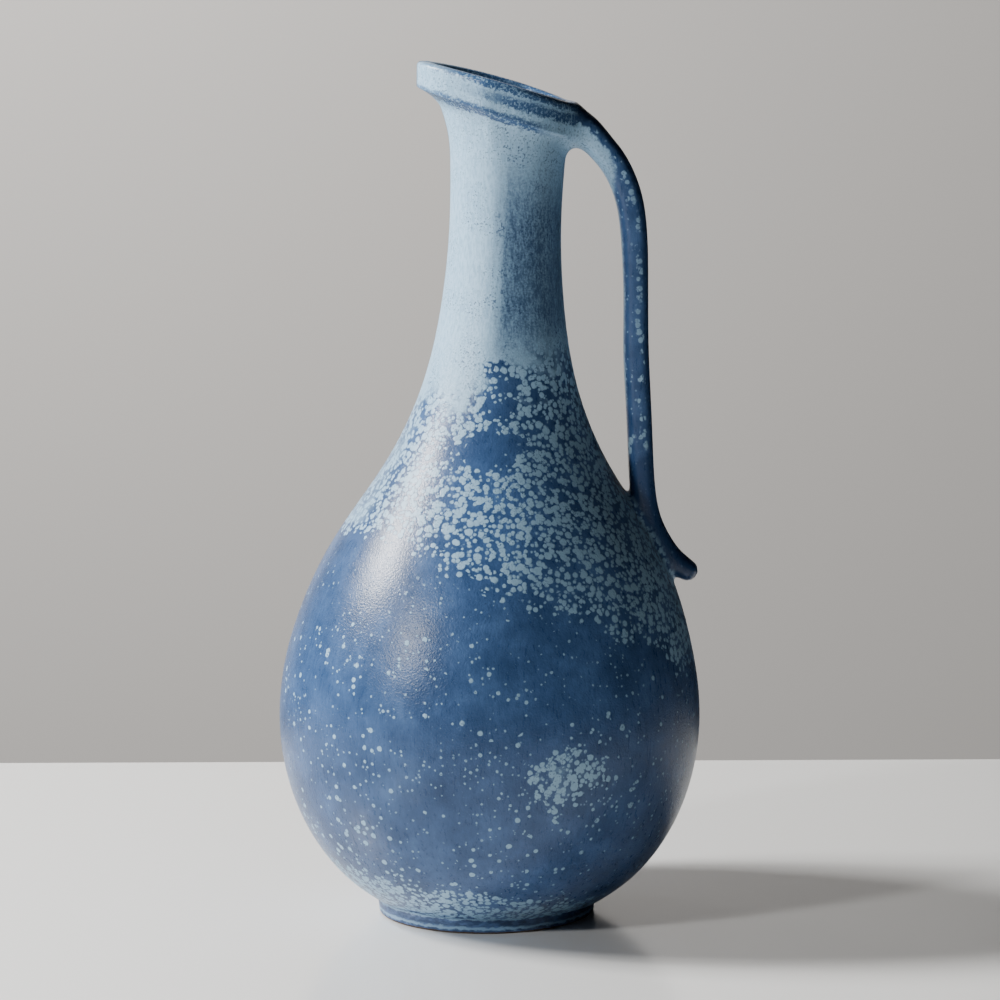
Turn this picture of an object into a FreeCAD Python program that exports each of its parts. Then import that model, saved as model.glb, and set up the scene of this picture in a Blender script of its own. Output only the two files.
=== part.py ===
"""Stoneware pitcher: a globular body with a slender neck, a slanted pouring lip and a strap handle.

It is built as a potter builds it. A foot ring, a bowl, a shoulder, a neck and a lip are made as separate
clay pieces and luted edge to edge, and a pulled strap is pressed onto lip and shoulder and bedded there
in two coils of soft clay. Millimetres, +Z up. The origin is the centre of the foot ring's standing face,
and +X points to the handle, so the spout points along -X.
"""

import FreeCAD, Part
import math
import os

from FreeCAD import Matrix, Vector

# Foot ring
FOOT_RADIUS = 40.8        # outside, at half height
FOOT_FLARE = 0.6          # extra radius where the ring meets the bowl
FOOT_HEIGHT = 6.3
FOOT_WALL = 9.5
FOOT_EDGE = 1.1           # rounding of the standing edges
FOOT_DRAFT = 0.2          # how far the side draws in above the standing edge

# Body outline, outside
BASE_STEP = 1.8           # how far the bowl's base stands out past the foot ring
BELLY_RADIUS = 78.9
BELLY_HEIGHT = 78.0       # height of the widest ring
WAIST_RADIUS = 20.6
WAIST_DROP = 24.0         # from the lip's joint down to the narrowest ring of the neck
NECK_TOP_RADIUS = 21.3
NECK_TOP_HEIGHT = 286.0   # where the lip is luted on, at the neck's centre
BOWL_CURVE = ((0.219, 0.507), (0.554, 0.868))   # shares of the rise and growth from base to belly
SHOULDER_CURVE = ((0.174, 0.907), (0.337, 0.693), (0.5, 0.362), (0.663, 0.136), (0.837, 0.030))
# shares of the rise from belly to waist, and of the radius that is left there

# Walls and joints
BODY_WALL = 5.0
NECK_WALL = 4.5
FLOOR_THICKNESS = 6.5
BOWL_JOINT_HEIGHT = 100.0     # bowl to shoulder
NECK_JOINT_HEIGHT = 200.0     # shoulder to neck
LIP_JOINT_TILT = 15.0         # degrees, the plane in which neck and lip meet
JOINT_KEY = 1.3               # depth of the ridge under the upper piece, in a groove of the lower one

# The body stands a little off the foot's centre, and leans to the handle above the bowl
BODY_OFFSET = 1.5
LEAN = 0.0414                 # sideways millimetres per millimetre of height

# Lip: a collar whose front is pulled out into the spout
SPOUT_REACH = 14.7            # how far the collar's face stands out past the neck: in front,
BACK_REACH = 3.7              # at the back,
SIDE_REACH = 3.3              # and at the sides
LIP_WALL = 5.0
BAND_BOTTOM = 13.0            # lower edge of the collar, above the joint
BAND_HEIGHT = 12.6            # collar's face, measured up the neck's axis
BAND_TILT = 18.0
BAND_FLARE = (0.6, 0.8, 0.8)  # how far its face opens in front, at the back and at the sides, in two heights
FLARE_COURSE = ((-0.75, 0.06, -0.1), (0.0, 0.1, 0.0), (0.46, 0.25, 0.12), (0.77, 0.42, 0.36),
                (0.92, 0.68, 0.64), (1.0, 1.0, 1.0))
# shares of the flare's height under the band, of its growth in front, and of its growth at sides and back
FLARE_BACK = 0.4              # the flare's back stands out this much more than the neck
MOUTH_COURSE = ((-0.8, 0.0), (0.0, 0.03), (0.4, 0.2), (0.72, 0.62), (1.0, 0.95), (1.7, 1.06))
# shares of the lip's height, and of the growth from the neck's bore to the mouth
MOUTH_BACK = 0.3
CREST_SLOPE = 0.30            # fall of the mouth towards the handle, at the neck's axis
CREST_RADIUS = 341.0          # the mouth's edge is gently arched in side view
CREST_EDGE = 1.6              # roundings
MOUTH_EDGE = 1.4
BAND_EDGE = 1.0

# Handle
FINGER_GAP = 22.6             # clear space between waist and grip
HANDLE_THICKNESS = 9.5
HANDLE_WIDTH = 15.0
ROOT_THICKNESS = 14.4         # where the strap leaves the lip
ROOT_WIDTH = 20.0
ROOT_STEP = 1.4               # from the mouth's edge down to the strap's back
ROOT_INSET = 1.0              # how far inside the collar's back the root is placed
ROOT_BED = 7.0                # how far the strap's centreline runs on inside the lip before it is cut
SECTION_POWER = 2.7           # 2 is an ellipse, more is squarer
SECTION_POINTS = 16
BEND_DROP = 53.0              # from the root to the straight part of the grip
BEND_CURVE = ((0.31, 0.085, 0.40), (0.51, 0.178, 0.24), (0.665, 0.268, 0.19), (0.807, 0.39, 0.15),
              (0.902, 0.52, 0.13), (0.957, 0.667, 0.11), (0.99, 0.87, 0.05), (1.0, 1.0, 0.0))
# shares of reach and drop, and of the root's extra thickness and width that is left
GRIP_SWELL = ((0.35, 0.2), (0.65, 0.75))   # share of the grip's length, and its outward bow
LANDING_HEIGHT = 159.5        # where the strap's inner side meets the shoulder
LANDING_RUN = ((6.0, 9.8), (-9.0, 2.6), (-19.0, 1.2), (-25.7, 3.0), (-29.9, 6.5))
# height above the landing, and the centreline's distance from the shoulder's skin
TAIL_THICKNESS = 7.8
TAIL_WIDTH = 12.5
TIP_LENGTH = 4.0              # rounded end of the tail
TIP_SHARES = (0.4, 0.7, 0.88, 0.97)

# Coils of soft clay smoothed into the corners between strap and wall
UPPER_COIL = 3.6              # reach along neck and strap
LOWER_COIL = 4.2              # reach along shoulder and strap
COIL_FEATHER = 0.35           # how far a coil stands proud where it ends
COIL_BED = 3.0

BIG = 600.0                   # larger than the pitcher, for half spaces
SPARE = 4.0                   # how far the turned outline runs on past the lip's joint

BASE_RADIUS = FOOT_RADIUS + FOOT_FLARE + BASE_STEP
WAIST_HEIGHT = NECK_TOP_HEIGHT - WAIST_DROP
SPOUT_FRONT = NECK_TOP_RADIUS + SPOUT_REACH
LIP_BACK = NECK_TOP_RADIUS + BACK_REACH
LIP_HALF_WIDTH = NECK_TOP_RADIUS + SIDE_REACH


def outline_points():
    """Outside of the body as (radius, height), from the foot ring to above the lip joint."""
    rise = BELLY_HEIGHT - FOOT_HEIGHT
    growth = BELLY_RADIUS - BASE_RADIUS
    points = [(BASE_RADIUS, FOOT_HEIGHT)]
    points += [(BASE_RADIUS + g * growth, FOOT_HEIGHT + h * rise) for h, g in BOWL_CURVE]
    points.append((BELLY_RADIUS, BELLY_HEIGHT))
    rise = WAIST_HEIGHT - BELLY_HEIGHT
    left = BELLY_RADIUS - WAIST_RADIUS
    points += [(WAIST_RADIUS + g * left, BELLY_HEIGHT + h * rise) for h, g in SHOULDER_CURVE]
    points.append((WAIST_RADIUS, WAIST_HEIGHT))
    points.append((NECK_TOP_RADIUS, NECK_TOP_HEIGHT))
    run_on = NECK_TOP_RADIUS * math.tan(math.radians(LIP_JOINT_TILT)) + SPARE
    slope = (NECK_TOP_RADIUS - WAIST_RADIUS) / (NECK_TOP_HEIGHT - WAIST_HEIGHT)
    points.append((NECK_TOP_RADIUS + slope * run_on, NECK_TOP_HEIGHT + run_on))
    return points


def spline(points):
    curve = Part.BSplineCurve()
    curve.interpolate([Vector(r, 0, z) for r, z in points])
    return curve


def wall_at(height):
    """Wall thickness: the body's below the bowl joint, thinning evenly up to the neck."""
    share = (height - BOWL_JOINT_HEIGHT) / (NECK_JOINT_HEIGHT - BOWL_JOINT_HEIGHT)
    return BODY_WALL + (NECK_WALL - BODY_WALL) * min(1.0, max(0.0, share))


def inner_points(curve, points):
    """The outline moved inwards by the wall, square to the surface."""
    moved = []
    for r, z in points:
        tangent = curve.tangent(curve.parameter(Vector(r, 0, z)))[0]
        wall = wall_at(z)
        moved.append((r - wall * tangent.z, z + wall * tangent.x))
    return moved


def turned(curve, points):
    """Solid of revolution between the axis and an outline."""
    (r0, z0), (r1, z1) = points[0], points[-1]
    low, high = Vector(0, 0, z0), Vector(0, 0, z1)
    start, end = Vector(r0, 0, z0), Vector(r1, 0, z1)
    edges = [
        Part.makeLine(low, start),
        curve.toShape(),
        Part.makeLine(end, high),
        Part.makeLine(high, low),
    ]
    return Part.Face(Part.Wire(edges)).revolve(Vector(0, 0, 0), Vector(0, 0, 1), 360)


def slab(low, high):
    return Part.makeBox(BIG, BIG, high - low, Vector(-BIG / 2, -BIG / 2, low))


def axis_x(height):
    """Where the body's axis stands at a height."""
    return BODY_OFFSET + LEAN * max(0.0, height - BOWL_JOINT_HEIGHT)


def stood(shape):
    """A turned piece moved off the foot's centre."""
    return shape.translated(Vector(BODY_OFFSET, 0, 0))


def leant(shape):
    """A turned piece that stands on the bowl and leans to the handle."""
    shear = Matrix()
    shear.A13 = LEAN
    shear.A14 = BODY_OFFSET - LEAN * BOWL_JOINT_HEIGHT
    return shape.transformGeometry(shear)


def key_ring(height, curve):
    """Ring of triangular section that hangs below a joint, in the middle of the wall."""
    middle = skin_radius(height, curve) - wall_at(height) / 2
    corners = [(middle - JOINT_KEY, height), (middle, height - JOINT_KEY), (middle + JOINT_KEY, height)]
    corners = [Vector(r, 0, z) for r, z in corners]
    face = Part.Face(Part.makePolygon(corners + corners[:1]))
    return face.revolve(Vector(0, 0, 0), Vector(0, 0, 1), 360)


def below_tilted_plane(x, z, tilt):
    """Everything under the plane through (x, z) that falls towards +X by tilt degrees."""
    box = Part.makeBox(BIG, BIG, BIG, Vector(-BIG / 2, -BIG / 2, -BIG))
    box.rotate(Vector(0, 0, 0), Vector(0, 1, 0), tilt)
    return box.translated(Vector(x, 0, z))


def foot_ring():
    outer, inner = FOOT_RADIUS - FOOT_DRAFT, FOOT_RADIUS - FOOT_WALL
    mouth = FOOT_RADIUS + FOOT_FLARE
    e = FOOT_EDGE
    corner = e * (1 - math.sqrt(0.5))
    side = Part.BSplineCurve()
    middle = Vector(FOOT_RADIUS, 0, FOOT_HEIGHT / 2)
    side.interpolate([Vector(outer, 0, e), middle, Vector(mouth, 0, FOOT_HEIGHT)])
    outer_edge = Part.Arc(Vector(outer - e, 0, 0), Vector(outer - corner, 0, corner), Vector(outer, 0, e))
    inner_edge = Part.Arc(Vector(inner, 0, e), Vector(inner + corner, 0, corner), Vector(inner + e, 0, 0))
    wire = Part.Wire([
        Part.makeLine(Vector(inner + e, 0, 0), Vector(outer - e, 0, 0)),
        outer_edge.toShape(),
        side.toShape(),
        Part.makeLine(Vector(mouth, 0, FOOT_HEIGHT), Vector(inner, 0, FOOT_HEIGHT)),
        Part.makeLine(Vector(inner, 0, FOOT_HEIGHT), Vector(inner, 0, e)),
        inner_edge.toShape(),
    ])
    return Part.Face(wire).revolve(Vector(0, 0, 0), Vector(0, 0, 1), 360)


def egg(height, tilt, front, back, half_width):
    """Closed section round the neck's axis: two half ellipses, in a plane that falls towards +X."""
    c, s = math.cos(math.radians(tilt)), math.sin(math.radians(tilt))
    centre = Vector(axis_x(height), 0, height)
    towards_back, sideways = Vector(c, 0, -s), Vector(0, 1, 0)

    def at(reach, angle):
        return centre + towards_back * (reach * math.cos(angle)) + sideways * (half_width * math.sin(angle))

    def half(reach, start):
        spans = 8
        curve = Part.BSplineCurve()
        angles = [start + math.pi * k / spans for k in range(spans + 1)]
        forward = towards_back * (-math.sin(start) * reach)
        curve.interpolate(
            [at(reach, a) for a in angles],
            InitialTangent=forward + sideways * (half_width * math.cos(start)),
            FinalTangent=forward * -1 - sideways * (half_width * math.cos(start)),
        )
        return curve.toShape()

    return Part.Wire([half(back, -math.pi / 2), half(front, math.pi / 2)])


def lip_outer():
    """Filled outside of the lip: the flare out of the neck, and the collar's band on it."""
    neck = NECK_TOP_RADIUS
    rings = []
    for rise, front_share, side_share in FLARE_COURSE:
        tilt = LIP_JOINT_TILT + (BAND_TILT - LIP_JOINT_TILT) * max(0.0, rise)
        rings.append(egg(NECK_TOP_HEIGHT + rise * BAND_BOTTOM, tilt, neck + front_share * SPOUT_REACH,
                         neck + side_share * BACK_REACH + FLARE_BACK, neck + side_share * SIDE_REACH))
    funnel = Part.makeLoft(rings, True, False)
    front, back, side = BAND_FLARE
    top = egg(NECK_TOP_HEIGHT + BAND_BOTTOM + 2 * BAND_HEIGHT, BAND_TILT, SPOUT_FRONT + front,
              LIP_BACK + back, LIP_HALF_WIDTH + side)
    band = Part.makeLoft([rings[-1], top], True, True)
    return funnel.fuse(band)


def lip_inner():
    """Space inside the lip, running on below the joint and above the mouth."""
    bore = NECK_TOP_RADIUS - NECK_WALL
    front = SPOUT_FRONT - LIP_WALL
    wide = LIP_HALF_WIDTH - LIP_WALL
    back = LIP_BACK - LIP_WALL
    reach = BAND_BOTTOM + BAND_HEIGHT
    rings = []
    for rise, share in MOUTH_COURSE:
        tilt = LIP_JOINT_TILT + (BAND_TILT - LIP_JOINT_TILT) * min(1.0, max(0.0, rise))
        rings.append(egg(NECK_TOP_HEIGHT + rise * reach, tilt, bore + share * (front - bore),
                         bore + share * (back - bore) + MOUTH_BACK, bore + share * (wide - bore)))
    return Part.makeLoft(rings, True, False)


def crest_x():
    return axis_x(NECK_TOP_HEIGHT + BAND_BOTTOM + BAND_HEIGHT)


def crest_height(x):
    """Height of the mouth's arched edge above a place on the X axis."""
    centre_x, centre_z = crest_centre()
    return centre_z + math.sqrt(CREST_RADIUS ** 2 - (x - centre_x) ** 2)


def crest_centre():
    length = math.hypot(1.0, CREST_SLOPE)
    top = NECK_TOP_HEIGHT + BAND_BOTTOM + BAND_HEIGHT
    return crest_x() - CREST_RADIUS * CREST_SLOPE / length, top - CREST_RADIUS / length


def under_crest():
    """Cylinder whose skin arches over the mouth."""
    x, z = crest_centre()
    return Part.makeCylinder(CREST_RADIUS, BIG, Vector(x, -BIG / 2, z), Vector(0, 1, 0))


def skin_radius(height, curve):
    """Radius of the body's outside at a height."""
    level = Part.LineSegment(Vector(0, 0, height), Vector(BIG, 0, height))
    return curve.intersectCC(level)[0].X


def handle_side(height, curve):
    """The body's skin on the handle's side."""
    return axis_x(height) + skin_radius(height, curve)


def handle_stations(curve):
    """Centreline of the strap from inside the lip to the tail, with its half thickness and half width."""
    grip_x = axis_x(WAIST_HEIGHT) + WAIST_RADIUS + FINGER_GAP + HANDLE_THICKNESS / 2
    root_x = crest_x() + LIP_BACK - ROOT_INSET
    root_z = crest_height(root_x) - ROOT_THICKNESS / 2 - ROOT_STEP
    reach = grip_x - root_x
    extra_thickness = ROOT_THICKNESS - HANDLE_THICKNESS
    extra_width = ROOT_WIDTH - HANDLE_WIDTH
    run = [(root_x - ROOT_BED, root_z + ROOT_BED * CREST_SLOPE, 1.0), (root_x, root_z, 1.0)]
    run += [(root_x + f * reach, root_z - g * BEND_DROP, left) for f, g, left in BEND_CURVE]
    line = [(x, z, HANDLE_THICKNESS + left * extra_thickness, HANDLE_WIDTH + left * extra_width)
            for x, z, left in run]
    grip_top = root_z - BEND_DROP
    first_rise, first_offset = LANDING_RUN[0]
    land_z = LANDING_HEIGHT + first_rise
    land_x = handle_side(land_z, curve) + first_offset
    for share, bow in GRIP_SWELL:
        line.append((grip_x + bow * share * (land_x - grip_x), grip_top + share * (land_z - grip_top),
                     HANDLE_THICKNESS, HANDLE_WIDTH))
    steps = len(LANDING_RUN) - 1
    for i, (h, off) in enumerate(LANDING_RUN):
        share = (i / steps) ** 2
        line.append((handle_side(LANDING_HEIGHT + h, curve) + off, LANDING_HEIGHT + h,
                     HANDLE_THICKNESS + share * (TAIL_THICKNESS - HANDLE_THICKNESS),
                     HANDLE_WIDTH + share * (TAIL_WIDTH - HANDLE_WIDTH)))
    return [(Vector(x, 0, z), thick / 2, wide / 2) for x, z, thick, wide in line]


def centreline(stations):
    curve = Part.BSplineCurve()
    curve.interpolate([s[0] for s in stations])
    return curve


def directions(line, place):
    """Along the strap, and square to it away from the pitcher, at a place on the centreline."""
    along = line.tangent(line.parameter(place))[0]
    return along, Vector(0, 1, 0).cross(along).normalize() * -1


def strap_section(place, outward, half_thickness, half_width):
    """Rounded section of the strap: a soft rectangle whose power says how square it is."""
    points = []
    for k in range(SECTION_POINTS):
        angle = 2 * math.pi * k / SECTION_POINTS
        c, s = math.cos(angle), math.sin(angle)
        x = math.copysign(abs(c) ** (2 / SECTION_POWER), c) * half_thickness
        y = math.copysign(abs(s) ** (2 / SECTION_POWER), s) * half_width
        points.append(place + outward * x + Vector(0, y, 0))
    curve = Part.BSplineCurve()
    curve.interpolate(points, PeriodicFlag=True)
    return Part.Wire([curve.toShape()])


def strap(stations, line):
    """The pulled strap; its tail closes in a rounded tip."""
    sections = []
    for place, half_thickness, half_width in stations:
        outward = directions(line, place)[1]
        sections.append(strap_section(place, outward, half_thickness, half_width))
    place, half_thickness, half_width = stations[-1]
    along, outward = directions(line, place)
    for share in TIP_SHARES:
        left = math.sqrt(1 - share ** 2)
        sections.append(strap_section(place + along * (share * TIP_LENGTH), outward,
                                      half_thickness * left, half_width * left))
    return Part.makeLoft(sections, True, False)


def coil(corner, along_wall, along_strap, reach, centre_x, half_width):
    """Coil smoothed to a hollow fillet in a corner, bent round the vertical axis at centre_x."""
    middle = (along_wall + along_strap).normalize()
    half_angle = along_wall.getAngle(along_strap) / 2
    corner = corner + middle * (COIL_FEATHER / math.sin(half_angle))
    start = corner + along_wall * reach
    end = corner + along_strap * reach
    hollow = corner + middle * (reach * (1 / math.cos(half_angle) - math.tan(half_angle)))
    back = corner - middle * COIL_BED
    into_wall = (along_wall * math.cos(2 * half_angle) - along_strap).normalize() * COIL_BED
    into_strap = (along_strap * math.cos(2 * half_angle) - along_wall).normalize() * COIL_BED
    wire = Part.Wire([
        Part.Arc(start, hollow, end).toShape(),
        Part.makeLine(end, end + into_strap),
        Part.makeLine(end + into_strap, back),
        Part.makeLine(back, start + into_wall),
        Part.makeLine(start + into_wall, start),
    ])
    turn = math.degrees(math.asin(half_width / (corner.x - centre_x)))
    axis = Vector(centre_x, 0, 0)
    face = Part.Face(wire)
    face.rotate(axis, Vector(0, 0, 1), -turn)
    return face.revolve(axis, Vector(0, 0, 1), 2 * turn)


def upper_coil(stations, line):
    """Coil between the neck and the underside of the strap's root."""
    undersides = []
    for place, half_thickness, _ in stations[1:3]:
        undersides.append(place - directions(line, place)[1] * half_thickness)
    along_strap = (undersides[1] - undersides[0]).normalize()
    neck_x = axis_x(undersides[0].z) + NECK_TOP_RADIUS
    step = (neck_x - undersides[0].x) / along_strap.x
    corner = undersides[0] + along_strap * step
    return coil(corner, Vector(0, 0, -1), along_strap, UPPER_COIL, axis_x(corner.z), HANDLE_WIDTH / 2)


def lower_coil(stations, line, curve):
    """Coil between the shoulder and the inner side of the strap's foot."""
    corner = Vector(handle_side(LANDING_HEIGHT, curve), 0, LANDING_HEIGHT)
    above = Vector(handle_side(LANDING_HEIGHT + LOWER_COIL, curve), 0, LANDING_HEIGHT + LOWER_COIL)
    place, half_thickness, _ = stations[-len(LANDING_RUN)]
    inner_side = place - directions(line, place)[1] * half_thickness
    return coil(corner, (above - corner).normalize(), (inner_side - corner).normalize(), LOWER_COIL,
                axis_x(LANDING_HEIGHT), HANDLE_WIDTH / 2)


def solid_of(shape):
    """The shape's largest solid."""
    return max(shape.Solids, key=lambda s: s.Volume)


def crest_face(shape):
    """The lip's top face, the only cylindrical one."""
    return [face for face in shape.Faces if face.Surface.TypeId == "Part::GeomCylinder"][0]


def band_edges(shape):
    """Edges in the plane of the collar's lower edge."""
    bottom = NECK_TOP_HEIGHT + BAND_BOTTOM
    tilt = math.radians(BAND_TILT)
    square = Vector(math.sin(tilt), 0, math.cos(tilt))
    on_plane = Vector(axis_x(bottom), 0, bottom)
    tolerance = 0.001
    edges = []
    for edge in shape.Edges:
        first, last = edge.FirstParameter, edge.LastParameter
        points = [edge.valueAt(place) for place in (first, (first + last) / 2, last)]
        if all(abs((point - on_plane).dot(square)) < tolerance for point in points):
            edges.append(edge)
    return edges


def pouring_lip(outer):
    """The lip, bored, with its mouth's inner edge rounded."""
    lip = solid_of(outer.cut(lip_inner()))
    top = crest_face(lip)
    inside = [edge for wire in top.Wires if not wire.isSame(top.OuterWire) for edge in wire.Edges]
    return lip.makeFillet(MOUTH_EDGE, inside)


def build():
    points = outline_points()
    curve = spline(points)
    inner = inner_points(curve, points)
    filled = turned(curve, points)
    space = turned(spline(inner), inner).common(slab(FOOT_HEIGHT + FLOOR_THICKNESS, BIG))
    wall = filled.cut(space)

    bowl_key = key_ring(BOWL_JOINT_HEIGHT, curve)
    neck_key = key_ring(NECK_JOINT_HEIGHT, curve)
    lower = slab(FOOT_HEIGHT, BOWL_JOINT_HEIGHT)
    middle = slab(BOWL_JOINT_HEIGHT, NECK_JOINT_HEIGHT)
    upper = slab(NECK_JOINT_HEIGHT, BIG)
    bowl = stood(wall.common(lower)).cut(leant(bowl_key))
    shoulder = leant(wall.common(middle).fuse(bowl_key).cut(neck_key))
    below_lip = below_tilted_plane(axis_x(NECK_TOP_HEIGHT), NECK_TOP_HEIGHT, LIP_JOINT_TILT)
    neck = leant(wall.common(upper).fuse(neck_key)).common(below_lip)
    full_shoulder = leant(filled.common(middle))
    full_neck = leant(filled.common(upper)).common(below_lip)

    outer = solid_of(lip_outer().common(under_crest()).cut(below_lip))
    outer = outer.makeFillet(CREST_EDGE, crest_face(outer).Edges)
    outer = outer.makeFillet(BAND_EDGE, band_edges(outer))

    stations = handle_stations(curve)
    line = centreline(stations)
    whole_strap = strap(stations, line)
    handle = whole_strap.cut(full_shoulder).cut(outer)
    upper_fillet = upper_coil(stations, line).cut(full_neck).cut(outer).cut(whole_strap)
    lower_fillet = lower_coil(stations, line, curve).cut(full_shoulder).cut(whole_strap)

    parts = {
        "foot_ring": foot_ring(),
        "bowl": bowl,
        "shoulder": shoulder,
        "neck": neck,
        "pouring_lip": pouring_lip(outer),
        "handle": handle,
        "upper_handle_coil": upper_fillet,
        "lower_handle_coil": lower_fillet,
    }
    return {name: solid_of(shape) for name, shape in parts.items()}


def main():
    os.makedirs("parts", exist_ok=True)
    for name, shape in build().items():
        print(name, "valid:", shape.isValid(), "volume:", round(shape.Volume))
        shape.exportStep(f"parts/{name}.step")


main()
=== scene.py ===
"""Looks of the stoneware pitcher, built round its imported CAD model.

One grid of rows and columns follows the CAD's outside, mouth and inside, and is cut into the thrown
pieces. The strap is melted onto them as glazed clay is, by a blend of distances. One crystalline glaze,
placed by height and side, runs over all of them. Geometry is worked out in millimetres, glaze too.
"""

import math

import bpy
import numpy as np
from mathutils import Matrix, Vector
from mathutils.bvhtree import BVHTree


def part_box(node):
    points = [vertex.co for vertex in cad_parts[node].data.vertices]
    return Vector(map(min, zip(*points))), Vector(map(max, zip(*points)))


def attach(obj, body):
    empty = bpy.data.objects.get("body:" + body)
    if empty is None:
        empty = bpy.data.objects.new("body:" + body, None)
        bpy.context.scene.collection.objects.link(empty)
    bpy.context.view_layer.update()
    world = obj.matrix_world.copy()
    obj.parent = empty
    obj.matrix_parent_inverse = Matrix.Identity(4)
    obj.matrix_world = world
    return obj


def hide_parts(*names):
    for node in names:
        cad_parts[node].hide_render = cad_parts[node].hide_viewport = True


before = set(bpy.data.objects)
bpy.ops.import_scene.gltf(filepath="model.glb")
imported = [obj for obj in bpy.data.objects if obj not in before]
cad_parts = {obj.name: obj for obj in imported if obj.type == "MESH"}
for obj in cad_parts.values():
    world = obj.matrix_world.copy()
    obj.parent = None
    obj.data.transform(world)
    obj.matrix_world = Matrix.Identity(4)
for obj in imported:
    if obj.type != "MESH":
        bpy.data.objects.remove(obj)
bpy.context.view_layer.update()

MM = 0.001
FAR = 600.0              # past everything, for rays

# Mesh of the thrown pieces
COLUMNS = 256
ROW_STEP = 1.5           # between rows of the body
LIP_STEP = 0.6           # between rows of the lip
TILT_RUN = 32.0          # height of neck in which its rows turn into the plane of the lip's joint
MELT_RUN = 5.0           # height in which the neck's shape passes into the lip's
RIM_ROUND = 2.3          # height of the mouth's rounded edge
RIM_POWER = 2.5          # 2 is a half ellipse over the wall, more is flatter
RIM_ROWS = 14
LIP_WALL = 5.0
COLLAR_LOW = 13.0        # lower edge of the collar above the lip's joint, at the neck's axis
COLLAR_TILT = math.tan(math.radians(18))
COLLAR_ROWS = (-1.2, -0.95, -0.7, -0.45, -0.25, -0.1, 0.05, 0.2, 0.4, 0.65, 1.0, 1.4)   # about its edge
COLLAR_BELOW, COLLAR_ABOVE = 1.5, 1.9   # where the even rows stop and start again
FAN_HEIGHT = 40.0        # the bowl's inside is followed by rays that fan out from here
FAN_ROWS = 44
FOOT_RAYS = 96
NECK_SPARE = 12.0        # below the neck's highest point, past the whole of its slanted joint
NECK_HALF_WALL = 2.5
JOINT_GAP = 0.02         # above the bowl's lowest plane, for rays
FLARE_ROW, FLARE_ROWS, FLARE_ROUNDS = 3, 13, 60   # rows above the joint, each way, and how often eased

# Marks of the hand: swell, how many round the pot, height of a turn and its start
LOW_WAVES = ((0.12, 2, 31.0, 0.7), (0.07, 3, -17.0, 2.1))
OUTER_RING, INNER_RING = 0.006, 0.22    # height of the throwing rings

# Clay smoothed round the strap's ends
STRAP_STEP = 0.6
UPPER_MELT = 5.5
LOWER_MELT = 3.4
STRAP_BED = 1.0          # how deep the strap's piece reaches into the wall
MELT_HEIGHTS = 200, 250  # between these the lower melt passes into the upper
MELT_SHARE = 0.98        # of the melt that the strap's piece takes in
STRAP_PIVOT = 32.0, 235.0                 # x and z of the point that the strap bends round
STRAP_ANGLES = np.radians(np.arange(-64.0, 88.0, 2.0))

ANGLES = np.arange(COLUMNS) * 2 * math.pi / COLUMNS
COS, SIN = np.cos(ANGLES), np.sin(ANGLES)


# ---------------------------------------------------------------- shapes taken from the CAD

def tree_of(*nodes):
    """Search tree over CAD nodes, in millimetres."""
    points, faces = [], []
    for name in nodes:
        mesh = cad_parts[name].data
        start = len(points)
        points += [vertex.co / MM for vertex in mesh.vertices]
        faces += [[start + i for i in polygon.vertices] for polygon in mesh.polygons]
    return BVHTree.FromPolygons(points, faces)


def hit(tree, start, direction):
    """First point on the tree along a ray; one that slips between two triangles is nudged aside."""
    start, direction = Vector(start), Vector(direction).normalized()
    nudge = 0.004
    for k in range(12):
        aside = Vector((math.sin(5 * k), math.cos(3 * k), math.sin(2 * k))) * nudge * k
        found = tree.ray_cast(start + aside, direction, 2 * FAR)[0]
        if found is not None:
            return found
    return None


def low(node):
    return np.array(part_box(node)[0]) / MM


def high(node):
    return np.array(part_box(node)[1]) / MM


def smooth(values, width):
    """Weighted running mean that keeps the ends and their slopes."""
    reach = 3 * width
    kernel = np.exp(-0.5 * (np.arange(-reach, reach + 1) / width) ** 2)
    head = 2 * values[0] - values[reach:0:-1]
    tail = 2 * values[-1] - values[-2:-reach - 2:-1]
    return np.convolve(np.concatenate([head, values, tail]), kernel / kernel.sum(), "valid")


def smooth_step(value, start, end):
    share = np.clip((value - start) / (end - start), 0, 1)
    return share * share * (3 - 2 * share)


class Profile:
    """Centre and radius of a turned wall's skin over the height."""

    def __init__(self, tree, bottom, top, inside):
        heights = np.arange(bottom, top, 1.0)
        centres, radii = [], []
        middle = 0.0
        for z in heights:
            if inside:
                right = hit(tree, (middle, 0, z), (1, 0, 0)).x
                left = hit(tree, (middle, 0, z), (-1, 0, 0)).x
            else:
                right = hit(tree, (FAR, 0, z), (-1, 0, 0)).x
                left = hit(tree, (-FAR, 0, z), (1, 0, 0)).x
            middle = (left + right) / 2
            centres.append(middle)
            radii.append((right - left) / 2)
        run_on = 40.0
        tail = 6
        last = slice(-tail, None)
        centre_slope = np.polyfit(heights[last], centres[last], 1)[0]
        radius_slope = np.polyfit(heights[last], radii[last], 1)[0]
        self.heights = np.append(heights, heights[-1] + run_on)
        centre_width, radius_width = 6, 2
        centres, radii = np.array(centres), np.array(radii)
        self.centres = np.append(smooth(centres, centre_width), centres[-1] + run_on * centre_slope)
        self.radii = np.append(smooth(radii, radius_width), radii[-1] + run_on * radius_slope)

    def centre(self, z):
        return np.interp(z, self.heights, self.centres)

    def radius(self, z):
        return np.interp(z, self.heights, self.radii)

    def ring(self, height, tilt=0.0):
        """Points round the skin, in a plane that falls towards +X by tilt."""
        z = np.full(COLUMNS, height)
        for _ in range(5):
            x = self.centre(z) + self.radius(z) * COS
            z = height - tilt * (x - self.centre(height))
        return np.stack([x, self.radius(z) * SIN, z], axis=1)


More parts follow.
